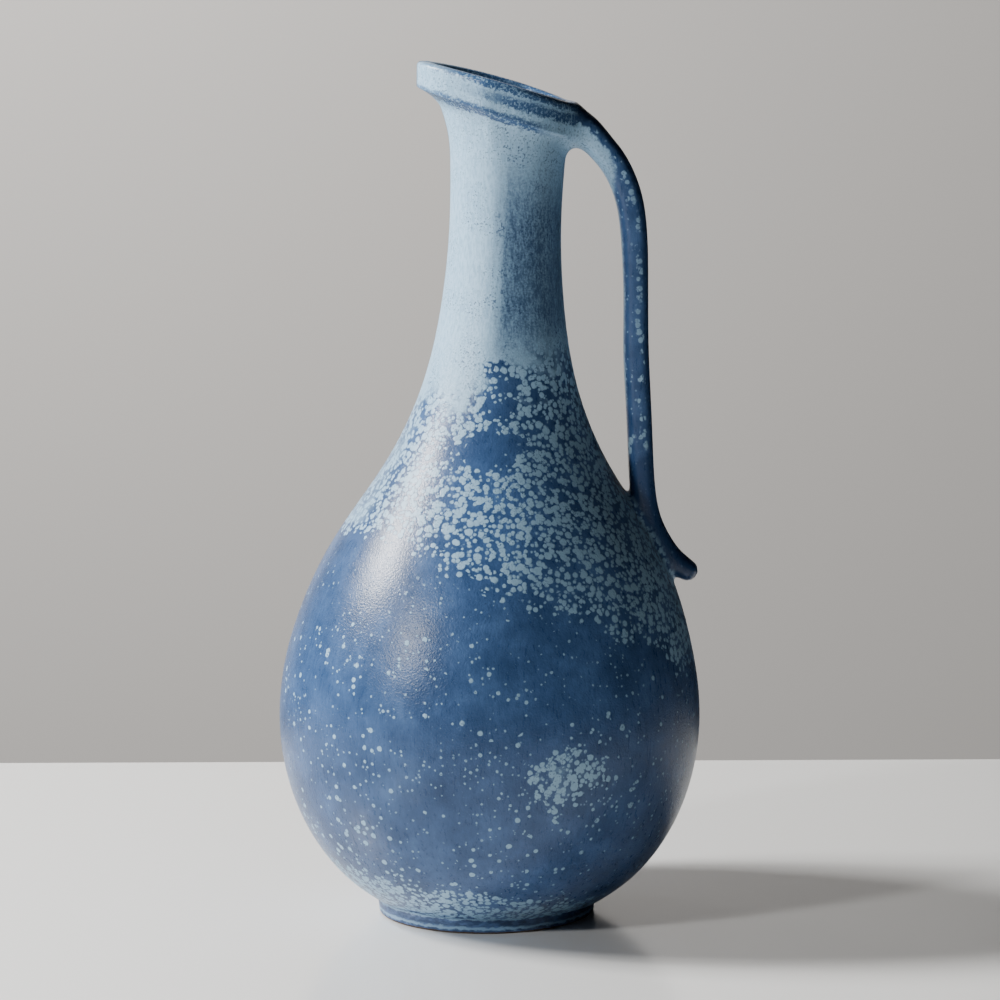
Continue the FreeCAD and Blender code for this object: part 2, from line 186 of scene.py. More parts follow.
def lip_joint(neck, outer):
    """Height at the neck's axis, and fall towards +X, of the plane in which neck and lip meet."""
    near = high("neck")[2] - NECK_SPARE
    places = [outer.centre(near) + side * (outer.radius(near) - NECK_HALF_WALL) for side in (-1, 1)]
    tops = [hit(neck, (x, 0, FAR), (0, 0, -1)).z for x in places]
    fall = (tops[0] - tops[1]) / (places[1] - places[0])
    height = tops[0]
    for _ in range(4):
        height = tops[0] - fall * (outer.centre(height) - places[0])
    return height, fall


class Crest:
    """Height of the mouth's arched edge over x."""

    def __init__(self, lip, outer):
        west, east = low("pouring_lip")[0], high("pouring_lip")[0]
        inset = LIP_WALL / 2
        ends = [hit(lip, (x, 0, FAR), (0, 0, -1)).z for x in (west + inset, east - inset)]
        self.shape = np.polyfit([west, east], ends, 1)
        top = high("neck")[2]
        for _ in range(2):
            places = []
            for c, s in zip(COS[::4], SIN[::4]):
                reach = 25.0
                for _ in range(4):
                    x = outer.centre(top) + reach * c
                    z = self.at(x) - RIM_ROUND
                    point = hit(lip, (outer.centre(z) + FAR * c, FAR * s, z), (-c, -s, 0))
                    reach = math.hypot(point.x - outer.centre(z), point.y)
                middle = reach - inset
                found = hit(lip, (outer.centre(z) + middle * c, middle * s, FAR), (0, 0, -1))
                places.append((found.x, found.z))
            x, z = np.array(places).T
            self.shape = np.polyfit(x, z, 3)

    def at(self, x):
        return np.polyval(self.shape, x)


def lip_rings(lip, outer, joint, fall, crest):
    """Rings up the lip's outside, over the mouth's edge and down its inside."""
    axis = outer.centre
    top = crest.at(axis(joint)) - RIM_ROUND
    top = crest.at(axis(top)) - RIM_ROUND
    crest_fall = -np.polyval(np.polyder(crest.shape), axis(top))
    collar = joint + COLLAR_LOW

    def row_height(height, x):
        tilt = np.interp(height, [joint, collar, top], [fall, COLLAR_TILT, crest_fall])
        flat = height - tilt * (x - axis(height))
        arch = crest.at(x) - RIM_ROUND - (top - crest_fall * (x - axis(top)))
        return flat + arch * np.interp(height, [collar, top], [0.0, 1.0])

    below = np.linspace(joint, collar - COLLAR_BELOW, 2 + int((COLLAR_LOW - COLLAR_BELOW) / LIP_STEP))
    above = np.linspace(collar + COLLAR_ABOVE, top, 2 + int((top - collar - COLLAR_ABOVE) / LIP_STEP))
    heights = np.concatenate([below, collar + np.array(COLLAR_ROWS), above])

    def ring(height, before, inside):
        middle = Vector((axis(height), 0, height))
        points = []
        for x, y, _ in before:
            towards = Vector((x, y, row_height(height, x))) - middle
            towards.normalize()
            found = hit(lip, middle, towards) if inside else hit(lip, middle + towards * FAR, -towards)
            points.append(found)
        return np.array(points)

    def sweep(order, start, inside):
        rings = []
        before = start
        for height in order:
            before = ring(height, before, inside)
            rings.append(before)
        return rings

    outside = sweep(heights, outer.ring(joint, fall), False)
    guess = outside[-1] * 0.7 + np.array([axis(top), 0, top]) * 0.3
    inside = sweep(heights[::-1], guess, True)
    return heights, outside, inside


def rim_rings(start, end, crest):
    """Rounded edge over the wall, from the outside's last ring to the inside's first."""
    rings = []
    for k in range(1, RIM_ROWS):
        angle = math.pi * k / RIM_ROWS
        c, s = math.cos(angle), math.sin(angle)
        across = (1 - math.copysign(abs(c) ** (2 / RIM_POWER), c)) / 2
        rise = s ** (2 / RIM_POWER)
        flat = start * (1 - across) + end * across
        level = crest.at(flat[:, 0]) - RIM_ROUND
        drift = flat[:, 2] - (crest.at(start[:, 0]) - RIM_ROUND) * (1 - across)
        drift = drift - (crest.at(end[:, 0]) - RIM_ROUND) * across
        flat[:, 2] = level + drift + rise * RIM_ROUND
        rings.append(flat)
    return rings


def bowl_inside(bowl, centre):
    """Rings from the fan's height down the bowl's inside to its middle."""
    reach, heights = [], []
    for k in range(1, FAN_ROWS):
        angle = math.pi / 2 * k / FAN_ROWS
        point = hit(bowl, (centre, 0, FAN_HEIGHT), (-math.cos(angle), 0, -math.sin(angle)))
        reach.append(centre - point.x)
        heights.append(point.z)
    reach, heights = smooth(np.array(reach), 1), smooth(np.array(heights), 1)
    return [np.stack([centre + r * COS, r * SIN, np.full(COLUMNS, z)], axis=1)
            for r, z in zip(reach, heights)]


def thrown_grid():
    """All rings of the body, from under the bowl up the outside and down the inside, and their names."""
    body = tree_of("bowl", "shoulder", "neck")
    lip = tree_of("pouring_lip")
    base = low("bowl")[2]
    bowl_top, shoulder_top = high("bowl")[2], high("shoulder")[2]
    neck_low_side = high("neck")[2] - NECK_SPARE
    outer = Profile(body, base + JOINT_GAP, neck_low_side, False)
    joint, fall = lip_joint(tree_of("neck"), outer)
    inner = Profile(body, FAN_HEIGHT, neck_low_side, True)
    crest = Crest(lip, outer)

    def course(start, end):
        count = max(1, round((end - start) / ROW_STEP))
        return list(np.linspace(start, end, count + 1))

    def tilt(height):
        return fall * smooth_step(height, joint - TILT_RUN, joint)

    rings = []
    marks = {}

    def add(name, more):
        marks[name] = (len(rings), len(rings) + len(more) - 1)
        rings.extend(more)

    base_ring = outer.ring(base)
    middle = np.array([outer.centre(base), 0, base])
    shares = [0.02, 0.2, 0.4, 0.6, 0.7, 0.8, 0.9, 0.96, 0.99]
    add("underside", [middle + (base_ring - middle) * share for share in shares])
    add("bowl_out", [outer.ring(z) for z in course(base, bowl_top)])
    add("shoulder_out", [outer.ring(z) for z in course(bowl_top, shoulder_top)[1:]])
    add("neck_out", [outer.ring(z, tilt(z)) for z in course(shoulder_top, joint)[1:]])

    heights, outside, inside = lip_rings(lip, outer, joint, fall, crest)
    outside[0] = rings[-1]
    neck_like = [outer.ring(z, fall) for z in heights]
    neck_like_inside = [inner.ring(z, fall) for z in heights]
    for k, height in enumerate(heights):
        share = smooth_step(height, joint, joint + MELT_RUN)
        outside[k] = outside[k] * share + neck_like[k] * (1 - share)
        inside[-1 - k] = inside[-1 - k] * share + neck_like_inside[k] * (1 - share)
    add("lip", outside[1:] + rim_rings(outside[-1], inside[0], crest) + inside)

    add("neck_in", [inner.ring(z, tilt(z)) for z in course(shoulder_top, joint)[-2::-1]])
    add("shoulder_in", [inner.ring(z) for z in course(bowl_top, shoulder_top)[-2::-1]])
    add("bowl_in", [inner.ring(z) for z in course(FAN_HEIGHT, bowl_top)[-2::-1]]
        + bowl_inside(tree_of("bowl"), outer.centre(base)))
    middle_row = marks["neck_out"][1] + FLARE_ROW
    return soften(np.array(rings), middle_row, FLARE_ROWS, FLARE_ROUNDS), marks


def grid_normals(rings):
    """Outward normals of the whole grid, so that no seam shows between pieces."""
    along = np.gradient(rings, axis=0)
    round_it = np.roll(rings, -1, axis=1) - np.roll(rings, 1, axis=1)
    normals = np.cross(round_it, along)
    return normals / np.linalg.norm(normals, axis=2, keepdims=True)


def soften(rings, row, reach, rounds):
    """Rings about a row eased into a smooth course, most in the middle."""
    first = row - reach
    span = slice(first, row + reach + 1)
    weight = np.sin(np.linspace(0, math.pi, 2 * reach + 1))[:, None, None]
    for _ in range(rounds):
        mean = (rings[first - 1:row + reach] + rings[first + 1:row + reach + 2]) / 2
        rings[span] = rings[span] * (1 - weight / 2) + mean * weight / 2
    return rings


def hand_made(rings, normals, marks):
    """Low waves and faint throwing rings, as a wheel and wet fingers leave them."""
    z = rings[:, :, 2]
    angle = ANGLES[None, :]
    wave = sum(swell * np.sin(count * angle + z / run + start) for swell, count, run, start in LOW_WAVES)
    wave += OUTER_RING * np.sin(z / 1.1 + angle + 1.5 * np.sin(z / 13))
    inside = INNER_RING * np.sin(z / 1.6 + angle + 0.8 * np.sin(z / 11))
    row = np.arange(len(rings))
    outer = smooth_step(row, marks["underside"][1], marks["underside"][1] + 8)
    outer *= 1 - smooth_step(row, marks["neck_out"][1] + 4, marks["neck_out"][1] + 22)
    inner = smooth_step(row, marks["neck_in"][0], marks["neck_in"][0] + 12)
    inner *= 1 - smooth_step(row, marks["bowl_in"][1] - 14, marks["bowl_in"][1])
    offset = wave * outer[:, None] + inside * inner[:, None]
    return rings + normals * offset[:, :, None]


# ---------------------------------------------------------------- meshes

class Shell:
    """A mesh of closed rings, with the normal of every face corner."""

    def __init__(self):
        self.points = []
        self.faces = []
        self.corners = []

    def ring(self, points):
        start = len(self.points)
        self.points += [tuple(point) for point in points]
        return start

    def band(self, first, second, first_normals, second_normals):
        """Faces between two rings."""
        for j in range(COLUMNS):
            k = (j + 1) % COLUMNS
            self.faces.append((first + j, first + k, second + k, second + j))
            self.corners += [first_normals[j], first_normals[k], second_normals[k], second_normals[j]]

    def pole(self, ring, middle, normal, closing):
        """Fan of faces over a small ring; closing is for one that ends the shell."""
        tip = len(self.points)
        self.points.append(tuple(middle))
        for j in range(COLUMNS):
            k = (j + 1) % COLUMNS
            self.faces.append((ring + j, ring + k, tip) if closing else (ring + k, ring + j, tip))
            self.corners += [normal] * 3

    def piece(self, name, material, slot, *nodes):
        mesh = bpy.data.meshes.new(name)
        mesh.from_pydata(np.array(self.points) * MM, [], self.faces)
        mesh.shade_smooth()
        mesh.normals_split_custom_set(self.corners)
        return placed(name, mesh, material, nodes)


def placed(name, mesh, material, nodes):
    """The mesh as a piece of the pitcher that stands for CAD nodes."""
    mesh.materials.append(material)
    piece = bpy.data.objects.new(name, mesh)
    bpy.context.scene.collection.objects.link(piece)
    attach(piece, "root")
    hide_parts(*nodes)
    return piece


def strip(shell, rings, normals, first, last):
    """Rows first to last of the grid, added to a shell; returns the start of each end ring."""
    starts = [shell.ring(rings[i]) for i in range(first, last + 1)]
    for k in range(len(starts) - 1):
        i = first + k
        shell.band(starts[k], starts[k + 1], normals[i], normals[i + 1])
    return starts[0], starts[-1]


def joint_face(shell, first, second, normal):
    flat = [normal] * COLUMNS
    shell.band(first, second, flat, flat)


def thrown_pieces(rings, normals, marks, glaze):
    """The bowl, shoulder, neck and lip, each a closed shell that meets the next at its joint."""
    outer_ends = [marks["bowl_out"][1], marks["shoulder_out"][1], marks["neck_out"][1]]
    inner_ends = [marks["shoulder_in"][1], marks["neck_in"][1], marks["lip"][1]]
    up, down = (0, 0, 1), (0, 0, -1)

    bowl = Shell()
    first, rim = strip(bowl, rings, normals, 0, outer_ends[0])
    bowl.pole(first, rings[0].mean(axis=0), down, False)
    inner_rim, last = strip(bowl, rings, normals, inner_ends[0], len(rings) - 1)
    bowl.pole(last, rings[-1].mean(axis=0), up, True)
    joint_face(bowl, rim, inner_rim, up)
    bowl.piece("glazed_bowl", glaze, "blue_glaze", "bowl")

    for name, k, slot, node in (("glazed_shoulder", 0, "blue_glaze", "shoulder"),
                                ("glazed_neck", 1, "pale_glaze", "neck")):
        shell = Shell()
        foot, rim = strip(shell, rings, normals, outer_ends[k], outer_ends[k + 1])
        inner_rim, inner_foot = strip(shell, rings, normals, inner_ends[k + 1], inner_ends[k])
        joint_face(shell, rim, inner_rim, up)
        joint_face(shell, inner_foot, foot, down)
        shell.piece(name, glaze, slot, node)

    lip = Shell()
    foot, inner_foot = strip(lip, rings, normals, outer_ends[2], inner_ends[2])
    joint_face(lip, inner_foot, foot, down)
    lip.piece("glazed_pouring_lip", glaze, "pale_glaze", "pouring_lip")


def foot_piece(material):
    """The turned foot ring, its section followed by rays from within the clay."""
    tree = tree_of("foot_ring")
    top = high("foot_ring")[2]
    outer = high("foot_ring")[0]
    inner = hit(tree, (0, 0, top / 2), (1, 0, 0)).x
    middle = Vector(((outer + inner) / 2, 0, top / 2))
    section = []
    for k in range(FOOT_RAYS):
        angle = 2 * math.pi * k / FOOT_RAYS
        section.append(hit(tree, middle, (math.cos(angle), 0, math.sin(angle))))
    points = [[(p.x * c, p.x * s, p.z) for c, s in zip(COS, SIN)] for p in section]
    grid = np.array(points)
    along = np.roll(grid, -1, axis=0) - np.roll(grid, 1, axis=0)
    round_it = np.roll(grid, -1, axis=1) - np.roll(grid, 1, axis=1)
    normals = np.cross(round_it, along)
    normals /= np.linalg.norm(normals, axis=2, keepdims=True)
    shell = Shell()
    starts = [shell.ring(ring) for ring in points]
    for k in range(FOOT_RAYS):
        after = (k + 1) % FOOT_RAYS
        shell.band(starts[k], starts[after], normals[k], normals[after])
    shell.piece("glazed_foot_ring", material, "foot_glaze", "foot_ring")


# ---------------------------------------------------------------- handle

def grid_tree(rings):
    points = rings.reshape(-1, 3)
    rows = len(rings)
    index = np.arange(rows * COLUMNS).reshape(rows, COLUMNS)
    after = np.roll(index, -1, axis=1)
    quads = np.stack([index[:-1], after[:-1], after[1:], index[1:]], axis=-1).reshape(-1, 4)
    return BVHTree.FromPolygons(points.tolist(), quads.tolist())


def signed_distances(tree, points):
    """Distance of each point to the skin, less than zero inside it."""
    sideways = Vector((0.02, 1, 0.01))
    doubtful = 0.3
    found = np.empty(len(points))
    for i, point in enumerate(points.tolist()):
        place, normal, _, distance = tree.find_nearest(point)
        inside = (Vector(point) - place).dot(normal) < 0
        if inside and distance > doubtful:
            # past a sharp rim the nearest face may look away, so a ray has to leave the clay too
            facing = tree.ray_cast(point, sideways)[1]
            inside = facing is not None and facing.dot(sideways) > 0
        found[i] = -distance if inside else distance
    return found


def melt(points):
    """Reach of the soft join between strap and wall at each point's height."""
    share = smooth_step(points[:, 2], *MELT_HEIGHTS)
    return LOWER_MELT + (UPPER_MELT - LOWER_MELT) * share


def joined(a, b, reach):
    """Union of two distances with a rounded join."""
    overlap = np.maximum(reach - np.abs(a - b), 0) / reach
    return np.minimum(a, b) - overlap ** 2 * reach / 4


class Melted:
    """Distances to the strap and its joins with the body."""

    def __init__(self, body):
        self.body = body
        self.strap = tree_of("handle")

    def skin(self, points):
        a = signed_distances(self.body, points)
        b = signed_distances(self.strap, points)
        return joined(a, b, melt(points)), a, b

    def piece(self, points):
        skin, a, b = self.skin(points)
        return np.maximum(np.maximum(skin, -(a + STRAP_BED)), b - MELT_SHARE * melt(points))


def surface_net(distance, start, end, step, block=8):
    """Quads over the zero level of a distance, looked for only near it."""
    cells = np.ceil((end - start) / (step * block)).astype(int)
    middles = np.stack(np.meshgrid(*[np.arange(n) for n in cells], indexing="ij"), axis=-1).reshape(-1, 3)
    size = block * step
    half_diagonal, slack = 0.87 * size, 0.4
    near = np.abs(distance(start + (middles + 0.5) * size)) < half_diagonal + slack
    values = np.full(cells * block + 1, np.nan)
    wanted = np.zeros(values.shape, bool)
    for i, j, k in middles[near] * block:
        wanted[i:i + block + 1, j:j + block + 1, k:k + block + 1] = True
    index = np.argwhere(wanted)
    values[wanted] = distance(start + index * step)

    inside = values < 0
    known = ~np.isnan(values)
    shape = np.array(values.shape) - 1
    total = np.zeros((*shape, 3))
    count = np.zeros(shape)
    corner_shifts = [(a, b) for a in (0, 1) for b in (0, 1)]
    crossings = []
    for axis in range(3):
        lower = [slice(None)] * 3
        upper = [slice(None)] * 3
        lower[axis], upper[axis] = slice(None, -1), slice(1, None)
        v0, v1 = values[tuple(lower)], values[tuple(upper)]
        both = known[tuple(lower)] & known[tuple(upper)]
        cross = both & (inside[tuple(lower)] != inside[tuple(upper)])
        edges = np.argwhere(cross)
        share = v0[cross] / (v0[cross] - v1[cross])
        place = edges.astype(float)
        place[:, axis] += share
        crossings.append((axis, edges, inside[tuple(lower)][cross]))
        others = [a for a in range(3) if a != axis]
        for a, b in corner_shifts:
            cell = edges.copy()
            cell[:, others[0]] -= a
            cell[:, others[1]] -= b
            good = (cell >= 0).all(axis=1) & (cell < shape).all(axis=1)
            np.add.at(total, tuple(cell[good].T), place[good])
            np.add.at(count, tuple(cell[good].T), 1)
    used = count > 0
    number = np.full(shape, -1)
    number[used] = np.arange(used.sum())
    points = start + total[used] / count[used][:, None] * step
    quads = []
    for axis, edges, starts_inside in crossings:
        u, v = (axis + 1) % 3, (axis + 2) % 3
        ring = []
        for a, b in ((0, 0), (1, 0), (1, 1), (0, 1)):
            cell = edges.copy()
            cell[:, u] -= a
            cell[:, v] -= b
            ring.append(number[tuple(cell.T)])
        quad = np.stack(ring, axis=1)
        quad[~starts_inside] = quad[~starts_inside][:, ::-1]
        quads.append(quad)
    return points, np.concatenate(quads)


def relaxed(points, quads, rounds):
    """Each point moved halfway to the mean of its neighbours."""
    links = np.concatenate([quads[:, [k, (k + 1) % 4]] for k in range(4)])
    links = np.unique(np.sort(links, axis=1), axis=0)
    for _ in range(rounds):
        total = np.zeros_like(points)
        count = np.zeros(len(points))
        for a, b in ((0, 1), (1, 0)):
            np.add.at(total, links[:, a], points[links[:, b]])
            np.add.at(count, links[:, a], 1)
        points = (points + total / count[:, None]) / 2
    return points


def strap_marks(points, off_wall):
    """For the glaze: place across the strap (-1 inside, +1 outside), along it, and off the wall."""
    tree = tree_of("handle")
    pivot = np.array(STRAP_PIVOT)
    start = Vector((pivot[0], 0, pivot[1]))
    inner, outer, line = [], [], []
    for angle in STRAP_ANGLES:
        towards = Vector((math.cos(angle), 0, math.sin(angle)))
        near = hit(tree, start, towards)
        far = hit(tree, start + towards * FAR, -towards)
        inner.append((near - start).length)
        outer.append((far - start).length)
        line.append((near + far) / 2)
    runs = [(b - a).length for a, b in zip(line, line[1:])]
    lengths = np.concatenate([[0], np.cumsum(runs)])
    offset = points[:, [0, 2]] - pivot
    angle = np.arctan2(offset[:, 1], offset[:, 0])
    reach = np.hypot(offset[:, 0], offset[:, 1])
    near, far = np.interp(angle, STRAP_ANGLES, inner), np.interp(angle, STRAP_ANGLES, outer)
    across = (2 * reach - near - far) / (far - near)
    along = lengths[-1] - np.interp(angle, STRAP_ANGLES, lengths)
    return {"across": across, "along": along, "off_wall": smooth_step(off_wall, 0.4, 3.0)}


def handle_piece(rings, material):
    """The strap with its ends smoothed onto lip and shoulder."""
    melted = Melted(grid_tree(rings))
    margin = UPPER_MELT + 3.0
    start, end = low("handle") - margin, high("handle") + margin
    points, quads = surface_net(melted.piece, start, end, STRAP_STEP)
    points = relaxed(points, quads, 2)
    slope_reach = 1.2
    slopes = []
    for axis in range(3):
        shift = np.zeros(3)
        shift[axis] = slope_reach
        slopes.append(melted.skin(points + shift)[0] - melted.skin(points - shift)[0])
    normals = np.stack(slopes, axis=1)
    normals /= np.linalg.norm(normals, axis=1, keepdims=True)
    skin, off_wall, _ = melted.skin(points)
    nearly_on, bed_starts = 0.5, -0.4
    on_skin = (np.abs(skin) < nearly_on) & (off_wall > bed_starts)
    points = points - normals * np.where(on_skin, skin, 0)[:, None]
    mesh = bpy.data.meshes.new("glazed_handle")
    mesh.from_pydata(points * MM, [], quads.tolist())
    mesh.shade_smooth()
    mesh.normals_split_custom_set_from_vertices(normals.tolist())
    for name, values in strap_marks(points, off_wall).items():
        mesh.attributes.new(name, "FLOAT", "POINT").data.foreach_set("value", values.astype(np.float32))
    placed("glazed_handle", mesh, material,
           ("handle", "upper_handle_coil", "lower_handle_coil"))


# ---------------------------------------------------------------- glaze

BLUE = (0.058, 0.118, 0.262)
DEEP_BLUE = (0.018, 0.048, 0.125)
# thin glaze on the collar, and painted shade inside the mouth
THIN_BLUE_AND_MOUTH_SHADE = (0.020, 0.062, 0.17)
LIGHT_BLUE = (0.10, 0.20, 0.37)
PALE = (0.36, 0.57, 0.77)
PALE_GREY = (0.255, 0.43, 0.61)
BARE_CLAY = (0.075, 0.045, 0.028)
# colour of real staining on the neck, also used as painted shade over the neck's right front side
STAIN_AND_SHADE = (0.050, 0.100, 0.190)
# painted shade: the grey that the pale crystals are darkened to, low down and towards the handle
SHADED_CRYSTAL = (0.19, 0.31, 0.42)

# Egg-shaped patches of the glaze: middle and half sizes, in millimetres
BARE_PATCHES = (((0.0, -36.0, 179.0), (23.0, 18.0, 12.0)),
                ((6.0, -28.0, 199.0), (10.0, 14.0, 15.0)),
                ((20.0, 32.0, 176.0), (24.0, 22.0, 20.0)))
ISLANDS = (((31.0, -72.0, 65.0), (24.0, 16.0, 13.0)),
           ((-40.0, 66.0, 78.0), (24.0, 22.0, 20.0)))
TRAIL = ((33.0, -70.0, 62.0), (46.0, 34.0, 36.0))
LEAN_FROM, LEAN, AXIS_AT = 100.0, 0.0414, 1.5     # the axis leans towards +X above a height
HALF = (0.5, 0.5, 0.5)

# Heights between which a zone of the glaze comes in or fades, in millimetres
VEIL = 148.0, 220.0             # pale glaze that comes down from the neck
SHOULDER_EDGE = 124.0, 144.0
LEFT_EDGE = 142.0, 152.0
FOOT_BAND = 25.0, 11.0
STARS_NEAR_FOOT = 54.0, 20.0
STARS_END = 132.0, 104.0
SEEDS_END = 150.0, 122.0
DUST_END = 150.0, 120.0
# painted shade on the pale crystals comes in below these heights
CRYSTAL_SHADE_HEIGHTS = 225.0, 175.0
# real staining on the neck, which also paints shade over its right front side, between these heights
STAIN_AND_SHADE_TOP, STAIN_AND_SHADE_FOOT = (316.0, 258.0), (192.0, 228.0)
NECK_SPECKS = 276.0, 294.0
COLLAR_FOOT = 284.0, 288.0      # no thin glaze below this
COLLAR_LINE = (296.6, 297.6), (301.4, 300.2)
COLLAR_STREAK = (302.9, 304.2), (308.4, 306.8)
COLLAR_TOP = 307.9, 309.0
# painted shade inside the mouth comes in above these heights
MOUTH_TOP = 308.6, 310.0

# Layers of crystals: spacing, largest radius, softness of the edge, and shift of the pattern
LARGE = 3.1, 1.62, 0.24, (0.0, 0.0, 0.0)
SMALL = 2.3, 1.12, 0.2, (7.3, 3.1, 5.7)
SMALLEST = 2.0, 0.85, 0.18, (2.2, 6.4, 8.1)
STARS = 3.3, 1.15, 0.18, (1.9, 8.3, 2.2)
SEEDS = 2.1, 0.62, 0.13, (9.7, 2.6, 1.3)
DUST = 2.2, 0.5, 0.12, (5.1, 0.7, 9.4)
STRAP_CHAIN = 2.7, 1.6, 0.22, (0.0, 0.0, 0.0)
STRAP_DUST = 1.7, 0.55, 0.15, (5.1, 0.7, 9.4)


class Nodes:
    """Short names for the nodes of one material."""

    def __init__(self, name):
        self.material = bpy.data.materials.new(name)
        self.material.use_nodes = True
        self.tree = self.material.node_tree
        self.shader = self.tree.nodes["Principled BSDF"]

    def feed(self, socket, value):
        if isinstance(value, bpy.types.NodeSocket):
            self.tree.links.new(value, socket)
        elif isinstance(value, tuple) and len(value) == 3 and len(socket.default_value) == 4:
            socket.default_value = (*value, 1.0)
        else:
            socket.default_value = value

    def new(self, kind, **settings):
        node = self.tree.nodes.new(kind)
        for name, value in settings.items():
            setattr(node, name, value)
        return node

    def math(self, operation, *values):
        node = self.new("ShaderNodeMath", operation=operation)
        for socket, value in zip(node.inputs, values):
            self.feed(socket, value)
        return node.outputs[0]

    def add(self, first, *more):
        for value in more:
            first = self.math("ADD", first, value)
        return first

    def times(self, first, *more):
        for value in more:
            first = self.math("MULTIPLY", first, value)
        return first

    def less(self, first, second):
        return self.math("SUBTRACT", first, second)

    def step(self, value, start, end, low=0.0, high=1.0):
        """Smooth passage from low to high as the value goes from start to end."""
        node = self.new("ShaderNodeMapRange", interpolation_type="SMOOTHSTEP")
        for socket, number in zip(node.inputs, (value, start, end, low, high)):
            self.feed(socket, number)
        return node.outputs[0]

    def vector(self, operation, *values, out=0):
        node = self.new("ShaderNodeVectorMath", operation=operation)
        for socket, value in zip(node.inputs, values):
            self.feed(socket, value)
        return node.outputs[out]

    def scaled(self, place, shares):
        return self.vector("MULTIPLY", place, shares)

    def parts(self, place):
        node = self.new("ShaderNodeSeparateXYZ")
        self.feed(node.inputs[0], place)
        return node.outputs[0], node.outputs[1], node.outputs[2]

    def noise(self, place, size, detail=2.0, rough=0.5, colour=False):
        """Noise with features of about that size in millimetres, from 0 to 1."""
        node = self.new("ShaderNodeTexNoise")
        self.feed(node.inputs["Vector"], place)
        node.inputs["Scale"].default_value = 1.0 / size
        node.inputs["Detail"].default_value = detail
        node.inputs["Roughness"].default_value = rough
        return node.outputs["Color" if colour else "Fac"]

    def cells(self, place, size):
        """Distance to the nearest of scattered points, and that point's random colour."""
        node = self.new("ShaderNodeTexVoronoi")
        self.feed(node.inputs["Vector"], place)
        node.inputs["Scale"].default_value = 1.0 / size
        return self.times(node.outputs["Distance"], size), node.outputs["Color"]

    def mix(self, share, first, second):
        node = self.new("ShaderNodeMix", data_type="RGBA")
        colour_a, colour_b, colour_out = 6, 7, 2
        self.feed(node.inputs["Factor"], share)
        self.feed(node.inputs[colour_a], first)
        self.feed(node.inputs[colour_b], second)
        return node.outputs[colour_out]


def place_in_mm(n):
    coordinates = n.new("ShaderNodeTexCoord").outputs["Object"]
    return n.scaled(coordinates, (1 / MM, 1 / MM, 1 / MM))


class Around:
    """A place's height, its offset from the leaning axis, how far towards handle (+1) or spout (-1)
    it is, and one on the front half."""

    def __init__(self, n, place):
        x, y, self.z = n.parts(place)
        lean = n.times(n.math("MAXIMUM", n.less(self.z, LEAN_FROM), 0.0), LEAN)
        self.x = n.less(n.less(x, AXIS_AT), lean)
        self.reach = n.math("SQRT", n.add(n.times(self.x, self.x), n.times(y, y), 1.0))
        self.side = n.math("DIVIDE", self.x, self.reach)
        self.facing = n.step(n.math("DIVIDE", y, self.reach), 0.35, -0.35)


def blob(n, place, middle, size):
    """One in the middle of a soft egg-shaped patch and zero outside it."""
    offset = n.vector("SUBTRACT", place, middle)
    offset = n.vector("DIVIDE", offset, size)
    distance = n.vector("LENGTH", offset, out=1)
    return n.step(distance, 0.35, 1.0, 1.0, 0.0)


def pale_amount(n, place, at):
    """How much of the glaze has turned pale at a place: zero is none, one is all."""
    ragged = n.vector("SUBTRACT", n.noise(place, 11.0, 3.0, 0.6, True), HALF)
    ragged = n.vector("ADD", place, n.scaled(ragged, (26.0, 26.0, 26.0)))
    rough = n.times(n.less(n.noise(place, 22.0, 3.0, 0.62), 0.5), 3.0)
    # the pale glaze comes down from the neck and lies over the shoulder, lower towards the handle
    torn = n.less(n.noise(place, 7.0, 3.0, 0.65), 0.5)
    fall = n.add(at.z, n.times(rough, 17.0), n.times(torn, 24.0), n.times(at.side, -9.0))
    veil = n.step(fall, *VEIL, 0.0, 1.1)
    cubed = n.times(at.side, at.side, at.side, 20.0)
    sinking = n.add(at.z, n.times(at.side, 20.0), cubed, n.times(rough, 7.0))
    shoulder = n.step(sinking, *SHOULDER_EDGE, 0.0, 0.74)
    amount = n.math("MAXIMUM", veil, shoulder)
    left = n.times(n.step(at.side, -0.5, -0.95), n.step(n.add(at.z, n.times(rough, 5.0)), *LEFT_EDGE))
    amount = n.math("MAXIMUM", amount, n.times(left, 0.92))
    # thin places where the blue shows through
    bare = largest(n, *[blob(n, ragged, *patch) for patch in BARE_PATCHES])
    amount = n.less(amount, n.times(bare, 0.66))
    # an island on the belly with its trail, one behind, and the thick glaze just above the foot
    islands = largest(n, *[blob(n, ragged, *island) for island in ISLANDS])
    trail = blob(n, place, *TRAIL)
    band = n.add(at.z, n.times(rough, 4.0), n.times(at.side, 8.0))
    band = n.step(band, *FOOT_BAND, 0.0, 0.82)
    return largest(n, amount, n.times(islands, 0.88), n.times(trail, 0.22), band), rough


def crystals(n, place, density, size, radius, softness, shift):
    """Round pale crystals: a random share of the scattered points, larger where there are more."""
    place = n.vector("ADD", place, shift)
    wobble = n.vector("SUBTRACT", n.noise(place, 1.2, 1.0, 0.5, True), HALF)
    distance, chance = n.cells(n.vector("ADD", place, n.scaled(wobble, HALF)), size)
    red, green, _ = n.parts(chance)
    here = n.less(density, red)
    share = n.step(here, 0.0, 0.3, 0.75, 1.0)
    grown = n.times(n.step(green, 0.0, 1.0, 0.65, 1.0), share, radius)
    grown = n.times(grown, n.math("GREATER_THAN", here, 0.0))
    return n.step(n.less(grown, distance), -softness, softness)


def largest(n, first, *more):
    for value in more:
        first = n.math("MAXIMUM", first, value)
    return first


